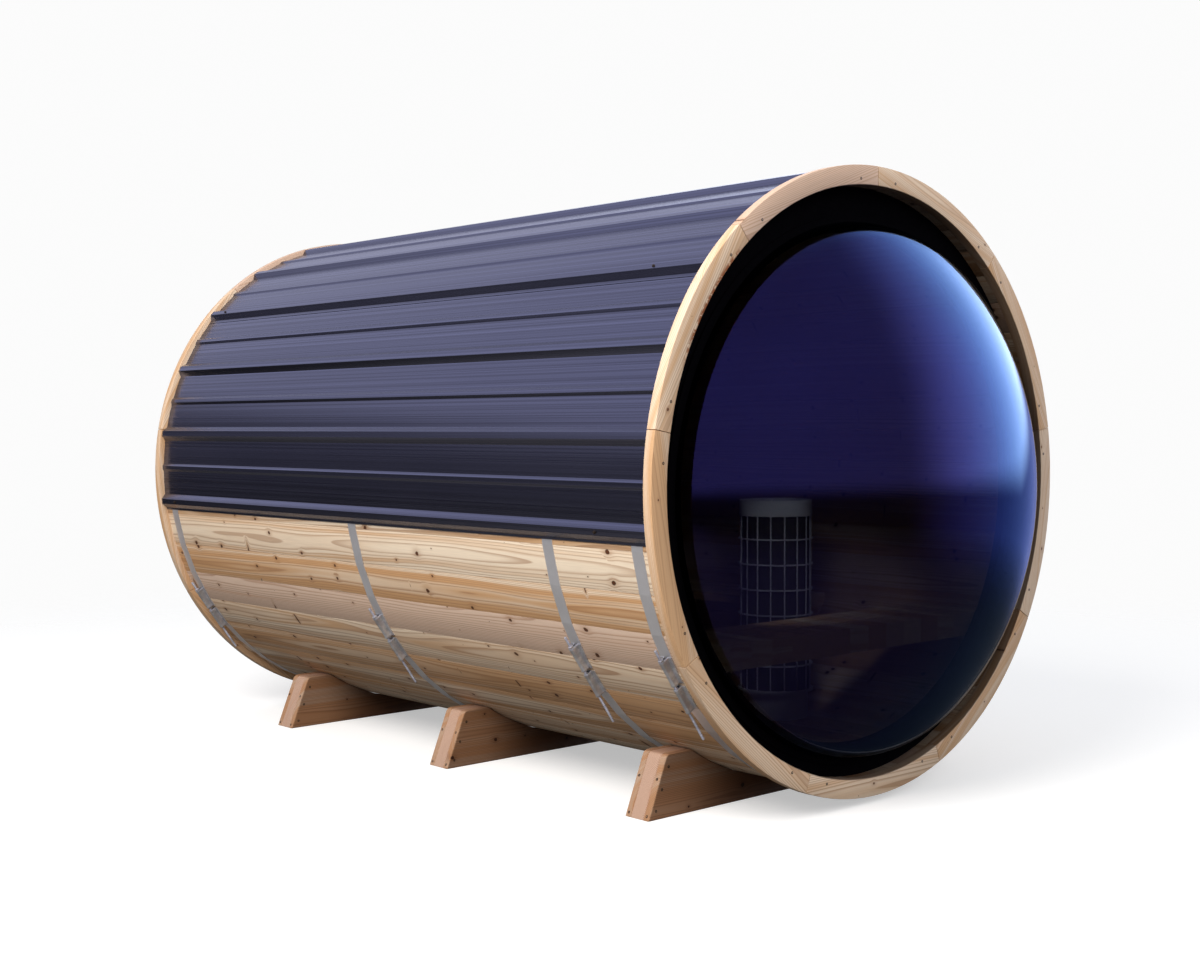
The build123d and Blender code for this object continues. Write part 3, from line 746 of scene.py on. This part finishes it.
low_rib = (0.034, 0.014, 0.006)
rib_pitch = radians(16.05)
rib_angles = radians(90.7) + rib_pitch * (np.arange(13) - 6)
last_rib = len(rib_angles) - 1
rib_half = tall_rib[0] / 2 / roof_outer
tuck, lap, edge_flat = (length / roof_outer for length in (0.002, 0.014, 0.008))
sheet_low, sheet_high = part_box("roof_sheet_left")


def rib_corners(angle, base, top, height):
    """Angle and height of a rib's four corners: its foot, its flat top and its other foot."""
    foot, crest = base / 2 / roof_outer, top / 2 / roof_outer
    return [(angle - foot, 0), (angle - crest, height), (angle + crest, height), (angle + foot, 0)]


def bent_sheet(ribs, start, end, lift):
    """A thin sheet from one angle to another. Its radius is the roof's, plus the lift where it laps
    the next, plus the rib's height at that angle; its stations are close enough to run round."""
    corners = [(start, 0)]
    for n in ribs:
        if n > 0:
            corners += rib_corners(rib_angles[n] - rib_pitch / 2, *low_rib)
        corners += rib_corners(rib_angles[n], *tall_rib)
    corners = np.array(corners + [(end, 0)])
    angle = np.unique(np.concatenate([corners[:, 0], np.linspace(start, end, 61)]))
    outer = roof_outer + lift + np.interp(angle, corners[:, 0], corners[:, 1])
    radius = np.stack([outer, outer, outer - sheet_thickness, outer - sheet_thickness], -1)
    sheet = np.zeros((1, len(angle), 4, 3))
    sheet[0, :, :, 0] = radius * np.cos(angle)[:, None]
    sheet[0, :, :, 1] = [sheet_low.y, sheet_high.y, sheet_high.y, sheet_low.y]
    sheet[0, :, :, 2] = axis_z + radius * np.sin(angle)[:, None]
    return joined_bars(sheet)


for side, ribs, lift in (
    ("right", range(0, 4), 0.0), ("upper_right", range(4, 7), 0.0008),
    ("upper_left", range(7, 10), 0.0016), ("left", range(10, 13), 0.0),
):
    start = rib_angles[ribs[0] - 1] + rib_half + tuck
    if ribs[0] == 0:
        start = rib_angles[0] - rib_half - edge_flat
    end = rib_angles[ribs[-1]] + rib_half + (edge_flat if ribs[-1] == last_rib else lap)
    sheet = bent_sheet(ribs, start, end, lift)
    place_piece(f"lapped_sheet_{side}", sheet, roof_paint, "roof_steel", f"roof_sheet_{side}")

# Roof screws: low steel heads on round washers, driven through the crests of the tall ribs beside
# the laps and at the lower edges, one near each end of the barrel.

washer_seat = 0.0016
crest_radius = roof_outer + tall_rib[2] + washer_seat
screwed_ribs = [0, 3, 9, 12]
screw_rows = (front_y + 0.27, back_y - 0.16)
roof_screws = []
for angle in rib_angles[screwed_ribs]:
    for along in screw_rows:
        spot = (crest_radius * cos(angle), along, axis_z + crest_radius * sin(angle))
        roof_screws.append((spot, (cos(angle), 0, sin(angle))))
washer_and_head = [
    (0.0060, -0.0020), (0.0060, 0.0006), (0.0056, 0.0010),
    (0.0042, 0.0012), (0.0042, 0.0040), (0.0036, 0.0046),
]
place_piece("roof_screws", turned_heads(roof_screws, washer_and_head), screw_material, "roof_steel")

# Bands: four flat stainless straps drawn round the barrel, their ends under pressed plates that a
# threaded rod pulls together.

band_steel, tree, shader = new_material("band_steel")
feed(shader, "Metallic", 0.76)
rolled = noise(tree, scaled(tree, own_place(tree), (8.0, 900.0, 8.0)), 1.0, 3.0, 0.6)
smear = noise(tree, own_place(tree), 9.0, 3.0, 0.6)
feed(shader, "Base Color", stain(tree, smear, colour(216, 216, 220), colour(244, 244, 248)))
feed(shader, "Roughness", spread(tree, rolled, 0.30, 0.50))
dress(band_steel, "band_straps")

# Door hinges: two flat steel straps in black powder coat, screwed across the boards of the back
# door. The coat has a fine grain.

hinge_paint, tree, shader = new_material("hinge_paint")
powder = noise(tree, own_place(tree), 600.0, 3.0, 0.6)
feed(shader, "Base Color", stain(tree, powder, colour(24, 24, 26), colour(42, 42, 45)))
feed(shader, "Roughness", spread(tree, powder, 0.45, 0.60))
dress(hinge_paint, "door_hinges")

# Tensioners: on each band two pressed steel plates with a round-topped tunnel, and a long M10
# threaded rod through both, with a washer and nut that bear on the upper plate. All are zinc-plated.

tensioner_angle = radians(215.2)
out_from_axis = np.array([cos(tensioner_angle), sin(tensioner_angle)])
down_the_side = np.array([-sin(tensioner_angle), cos(tensioner_angle)])
band_width = 0.051
band_middles = np.array([0.105, 0.535, 1.690, back_y - front_y - 0.110]) + front_y
band_outer = 1.0735
rod_orbit = 1.0925
rod_radius = 0.005
plate_start = 0.007
plate_end = 0.107
tunnel_radius = 0.0085
plate_depth = 0.002
flange_fillet = 0.0035
end_flare = 0.0012


def beside_rod(height, along, across):
    """Places by distance from the barrel's axis, down the side along the rod, and across the band,
    as points in each of the four bands."""
    height, along, across = np.broadcast_arrays(height, along, across)
    points = np.zeros((len(band_middles), *height.shape, 3))
    points[..., 0] = height * out_from_axis[0] + along * down_the_side[0]
    points[..., 1] = across + band_middles.reshape(-1, *([1] * height.ndim))
    points[..., 2] = axis_z + height * out_from_axis[1] + along * down_the_side[1]
    return points


def band_height(along):
    """How far out the band lies, which bends at each stave joint: flat / cos(turn from the middle
    of the flat)."""
    swing = np.linspace(-0.3, 0.3, 1201)
    off_flat = (tensioner_angle + swing - stave_turn) % stave_pitch - stave_pitch / 2
    radius = band_outer / np.cos(off_flat)
    return np.interp(along, radius * np.sin(swing), radius * np.cos(swing))


def pressed_plate(start, end):
    """A plate from start to end along the rod. Its section is a flat flange on the band, a fillet,
    a straight leg and a half-round over the rod; the ends are rolled out a little."""
    half = band_width / 2
    turn = np.linspace(0, pi, 13)
    station = np.array([
        start, start + 0.0015, start + 0.006, start + 0.010, start + 0.030, (start + end) / 2,
        end - 0.030, end - 0.010, end - 0.006, end - 0.0015, end,
    ])
    rolled_out = np.array([0.2, 1.0, 1.0, 0.0, 0.0, 0.0, 0.0, 0.0, 1.0, 1.0, 0.2])
    flare = rolled_out[:, None] * end_flare
    base = band_height(station)[:, None]
    skins = []
    for radius, lift, foot in (
        (tunnel_radius, plate_depth, flange_fillet), (tunnel_radius - plate_depth, 0.0, 0.0),
    ):
        wide = radius + flare
        flange = base + lift
        left = [
            (-half, flange), (-wide - foot, flange), (-wide - foot * 0.25, flange + foot * 0.3),
            (-wide, flange + foot),
        ]
        right_side = [(-x, z) for x, z in left[::-1]]
        arc = [(-wide * cos(a), rod_orbit + wide * sin(a)) for a in turn]
        skins.append([np.broadcast_arrays(x + 0 * base, z) for x, z in left + arc + right_side])
    outline = skins[0] + skins[1][::-1]
    across = np.concatenate([x for x, z in outline], 1)
    height = np.concatenate([z for x, z in outline], 1)
    return beside_rod(height, station[:, None], across)


def round_bar(profile, corners, six_sided=False):
    """A turned bar along the rod: a profile of place and radius, carried round. A six-sided one
    reaches 1 / cos(turn from the middle of its nearest flat) times as far."""
    turn = np.arange(corners) * 2 * pi / corners
    reach = 1 / np.cos((turn + pi / 6) % (pi / 3) - pi / 6) if six_sided else np.ones(corners)
    place, radius = np.array(profile).T
    out = radius[:, None] * reach
    return beside_rod(rod_orbit + out * np.sin(turn), place[:, None], out * np.cos(turn))


def one_mesh(*parts):
    """Several sets of bars as one mesh."""
    work = bmesh.new()
    for part in parts:
        work.from_mesh(joined_bars(part))
    mesh = bpy.data.meshes.new("joined")
    work.to_mesh(mesh)
    work.free()
    return mesh


zinc, tree, shader = new_material("tensioner_steel")
feed(shader, "Metallic", 0.80)
spangle = put(tree, "TexVoronoi", own_place(tree), None, 160.0, out=1)
stained = noise(tree, own_place(tree), 30.0, 4.0, 0.65)
zinc_colour = ease_between(tree, stained, 0.40, 0.66)
zinc_colour = stain(tree, zinc_colour, colour(196, 196, 200), colour(230, 230, 234))
feed(shader, "Base Color", stain(tree, 0.03, zinc_colour, spangle))
feed(shader, "Roughness", spread(tree, stained, 0.46, 0.28))
plates = one_mesh(pressed_plate(-plate_end, -plate_start), pressed_plate(plate_start, plate_end))
place_piece("tensioner_plates", plates, zinc, "tensioner_steel", "tensioner_pins", smooth_angle=35)
rod_stub = 0.0483
rod_tail = 0.120
rod_top = -plate_end - rod_stub
rod_foot = plate_end + rod_tail
thread_pitch = 0.002
thread_depth = 0.0007
thread = np.arange(rod_top + 0.001, rod_foot - 0.004, thread_pitch / 2)
thread_profile = [
    (rod_top, 0.0035),
    *[(place, rod_radius - thread_depth * (n % 2)) for n, place in enumerate(thread)],
    (rod_foot - 0.003, 0.0046), (rod_foot - 0.001, 0.0034), (rod_foot, 0.0012),
]
nut_top = -plate_end - 0.0093
nut_foot = nut_top + 0.0075
nut_half = 0.0085
bevel = 0.0012
nut_profile = [
    (nut_top, 0.0068), (nut_top + bevel, nut_half), (nut_foot - bevel, nut_half), (nut_foot, 0.0072),
]
washer_profile = [
    (nut_foot + 0.0001, 0.0096), (nut_foot + 0.0004, 0.0100),
    (nut_foot + 0.0012, 0.0100), (nut_foot + 0.0015, 0.0096),
]
collar_profile = [
    (plate_start - 0.0028, 0.0072), (plate_start - 0.0022, 0.0080),
    (plate_start - 0.0006, 0.0080), (plate_start, 0.0074),
]
fittings = one_mesh(
    round_bar(thread_profile, 10), round_bar(nut_profile, 12, six_sided=True),
    round_bar(washer_profile, 20), round_bar(collar_profile, 16),
)
place_piece("tensioner_bolts", fittings, zinc, "tensioner_steel", "tensioner_rods")

# Cradles: three of softwood under the barrel, each a core screwed between two cheeks near its ends,
# hollowed to the staves and sawn off at a rake.

cradle_wood = wood("cradle_wood", (182, 156, 134), (172, 130, 96), (112, 70, 44), (72, 40, 24))
hollow_radius = 1.07460
cradle_height = 0.216
cradle_rake = 0.088
horn_width = 0.1203
top_half = sqrt(hollow_radius**2 - (axis_z - cradle_height) ** 2) + horn_width
bottom_half = top_half + cradle_rake
arc_half = np.arccos((axis_z - cradle_height) / hollow_radius)
arc = np.linspace(arc_half, -arc_half, 49)
hollow = np.stack([hollow_radius * np.sin(arc), axis_z - hollow_radius * np.cos(arc)], -1)


def round_corner(before, corner, after, radius, steps):
    """One rounded corner: a curve from one edge to the next."""
    before, corner, after = (np.array(p, float) for p in (before, corner, after))
    start = corner + (before - corner) / np.linalg.norm(before - corner) * radius
    end = corner + (after - corner) / np.linalg.norm(after - corner) * radius
    return corner_curve(start, corner, end, steps)


foot = (bottom_half, 0.0)
shoulder = (top_half, cradle_height)
right_side = np.concatenate([
    round_corner((0, 0), foot, shoulder, 0.003, 4),
    round_corner(foot, shoulder, hollow[0], 0.020, 8),
])
left_side = right_side[::-1] * (-1, 1)
cradle_outline = np.concatenate([right_side, hollow, left_side])
tree = cradle_wood.node_tree
x, y, height = barrel_place(tree)
slope = cradle_rake / cradle_height
reach_here = reckon(tree, "MULTIPLY_ADD", height, -slope, bottom_half - slope * axis_z)
from_end = less(tree, reach_here, reckon(tree, "ABSOLUTE", x))
# Painted shade: the cheek faces darken a little just in from the raked ends, then much more further in
# under the barrel, while the raked ends stay light.
for near, far, strength, shade in (
    (0.003, 0.010, 0.45, (168, 138, 112)), (0.10, 0.45, 0.75, (128, 104, 88)),
):
    amount = times(tree, ease_between(tree, from_end, near, far), strength)
    stain_base(cradle_wood, amount, colour(*shade))


def set_in(outline, amount):
    """Moves a closed outline inwards: each point along the mean of its two edges' inward sides."""
    ahead = np.roll(outline, -1, 0) - outline
    ahead /= np.linalg.norm(ahead, axis=1, keepdims=True)
    inward = np.stack([-ahead[:, 1], ahead[:, 0]], -1)
    mean = inward + np.roll(inward, 1, 0)
    return outline + mean / np.linalg.norm(mean, axis=1, keepdims=True) * amount


cradle_edge = 0.0025
core_tone = 0.92
eased_outline = set_in(cradle_outline, cradle_edge)
boards = []
for name in ("front", "middle", "back"):
    cheek_low, cheek_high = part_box(f"cradle_{name}_cheeks")
    core_low, core_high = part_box(f"cradle_{name}_core")
    boards += [(cheek_low.y, core_low.y), (core_low.y, core_high.y), (core_high.y, cheek_high.y)]
boards = np.array(boards)
start, end = boards.T
depth = np.stack([start, start + cradle_edge, end - cradle_edge, end], 1)
section = np.stack([eased_outline, cradle_outline, cradle_outline, eased_outline])
rings = np.zeros((len(boards), *section.shape[:2], 3))
rings[..., 0] = section[..., 0]
rings[..., 1] = depth[:, :, None]
rings[..., 2] = section[..., 1]
cradle_mesh = joined_bars(rings)
each = (len(boards), 1, 1)
grain = np.zeros_like(rings)
grain[..., 0] = rings[..., 0] + random.uniform(70, 120, each)
grain[..., 1] = rings[..., 2] + random.uniform(-0.14, -0.02, each)
grain[..., 2] = rings[..., 1] - start[:, None, None] + random.uniform(0.03, 0.10, each)
cradle_tones = random.uniform(0.3, 0.5, len(boards))
cradle_tones[1::3] = core_tone
mark_grain(cradle_mesh, grain, np.repeat(cradle_tones, 4 * len(cradle_outline)))
place_piece(
    "cradle_boards", cradle_mesh, cradle_wood, "cradle_wood",
    "cradle_front_cheeks", "cradle_front_core", "cradle_middle_cheeks", "cradle_middle_core",
    "cradle_back_cheeks", "cradle_back_core",
)

rake = np.array([shoulder[0] - foot[0], shoulder[1]])
rake_length = np.linalg.norm(rake)
rake = rake / rake_length
cradle_spots = []
for first in range(0, len(boards), 3):
    cheek_start, core_start = boards[first]
    core_end, cheek_end = boards[first + 2]
    for side in (-1, 1):
        for up_slope in (0.07, 0.62):
            x, z = np.array(foot) + rake * rake_length * up_slope
            for y in ((cheek_start + core_start) / 2, (core_end + cheek_end) / 2):
                cradle_spots.append(((side * x, y, z), (side * rake[1], 0, -rake[0])))
        for up_slope, inset in ((0.14, 0.024), (0.46, 0.024), (0.80, 0.026)):
            x, z = np.array(foot) + rake * rake_length * up_slope - np.array([inset, 0])
            for y, outward in ((cheek_start, -1), (cheek_end, 1)):
                cradle_spots.append(((side * x, y, z), (0, outward, 0)))
place_piece("cradle_screws", screw_heads(cradle_spots), screw_material, "tensioner_steel")

# Studio: a plain pale floor that fades into a pale surround, and two large soft lamps, high to the
# left and in front, with a small one inside the dome for the stove. Glossy surfaces see a blue-grey
# surround that brightens to the right, over a dark floor, so the steel and the dome keep their depth.

bpy.context.scene.view_settings.view_transform = "Standard"
floor_half = 30.0
floor_mesh = bpy.data.meshes.new("studio_floor")
floor_corners = [(-1, -1), (1, -1), (1, 1), (-1, 1)]
floor_mesh.from_pydata([(floor_half * x, floor_half * y, 0) for x, y in floor_corners], [], [(0, 1, 2, 3)])
studio_floor = bpy.data.objects.new("studio_floor", floor_mesh)
bpy.context.scene.collection.objects.link(studio_floor)
floor_material, tree, shader = new_material("studio_floor")
seen = put(tree, "LightPath").node.outputs["Is Camera Ray"]
fade = ease_between(tree, length_of(tree, own_place(tree)), 2.6, 7.5)
feed(shader, "Alpha", less(tree, 1.0, fade))
feed(shader, "Base Color", stain(tree, seen, (0.14, 0.135, 0.13, 1), (0.64, 0.64, 0.64, 1)))
feed(shader, "Emission Color", (1, 1, 1, 1))
feed(shader, "Emission Strength", times(tree, seen, 0.46))
feed(shader, "Roughness", 0.9)
feed(shader, "Specular IOR Level", 0.0)
floor_mesh.materials.append(floor_material)
world = bpy.data.worlds.new("studio")
world.use_nodes = True
tree = world.node_tree
light_path = put(tree, "LightPath").node.outputs
x, y, z = split(tree, put(tree, "TexCoord"))
to_right = ease_between(tree, x, 0.46, 1.05)
behind = times(tree, reckon(tree, "MAXIMUM", y, 0.0), 0.30)
above = ease_between(tree, less(tree, z, behind), -0.06, 0.05)
low_wall, high_wall = (0.68, 0.69, 0.88, 1), (0.66, 0.68, 0.92, 1)
near_floor, far_floor = (0.016, 0.014, 0.018, 1), (0.090, 0.086, 0.122, 1)
bright_wall, bright_floor = (4.0, 4.4, 5.2, 1), (0.5, 0.55, 1.1, 1)
soft_below, soft_above = (0.16, 0.15, 0.14, 1), (0.62, 0.64, 0.68, 1)
backdrop = (0.97, 0.97, 0.97, 1)
sheen = stain(tree, ease_between(tree, z, 0.0, 0.9), low_wall, high_wall)
sheen = stain(tree, to_right, sheen, bright_wall)
mirrored_floor = stain(tree, ease_between(tree, z, -0.25, 0.14), near_floor, far_floor)
mirrored_floor = stain(tree, to_right, mirrored_floor, bright_floor)
sheen = stain(tree, above, mirrored_floor, sheen)
soft = stain(tree, ease_between(tree, z, -0.06, 0.05), soft_below, soft_above)
surround = stain(tree, light_path["Is Glossy Ray"], soft, sheen)
surround = stain(tree, light_path["Is Camera Ray"], surround, backdrop)
feed(tree.nodes["Background"], "Color", surround)
bpy.context.scene.world = world


def new_lamp(name, kind, place, aim, power, tint):
    """A lamp at a place, turned to face its aim, that glossy surfaces don't mirror."""
    data = bpy.data.lights.new(name, kind)
    data.energy = power
    data.color = tint
    lamp = bpy.data.objects.new(name, data)
    lamp.location = place
    lamp.rotation_euler = (aim - lamp.location).to_track_quat("-Z", "Y").to_euler()
    lamp.visible_glossy = False
    bpy.context.scene.collection.objects.link(lamp)
    return lamp


warm = (1.0, 0.955, 0.90)
cool = (0.80, 0.86, 1.0)
barrel_heart = Vector((0, 0, 1.0))
for name, place, power in (("left_lamp", (-6.0, -2.0, 5.5), 660), ("front_lamp", (-1.0, -8.0, 5.5), 150)):
    lamp = new_lamp(name, "AREA", place, barrel_heart, power, warm)
    lamp.data.shape = "DISK"
    lamp.data.size = 4.0
stove_low, stove_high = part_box("heater_cage")
in_dome = (-0.40, wall_face + 0.02, 1.30)
lamp = new_lamp("stove_lamp", "SPOT", in_dome, (stove_low + stove_high) / 2, 18, cool)
lamp.data.spot_size = radians(54)
lamp.data.spot_blend = 0.5
lamp.data.shadow_soft_size = 0.10
lamp.visible_camera = False
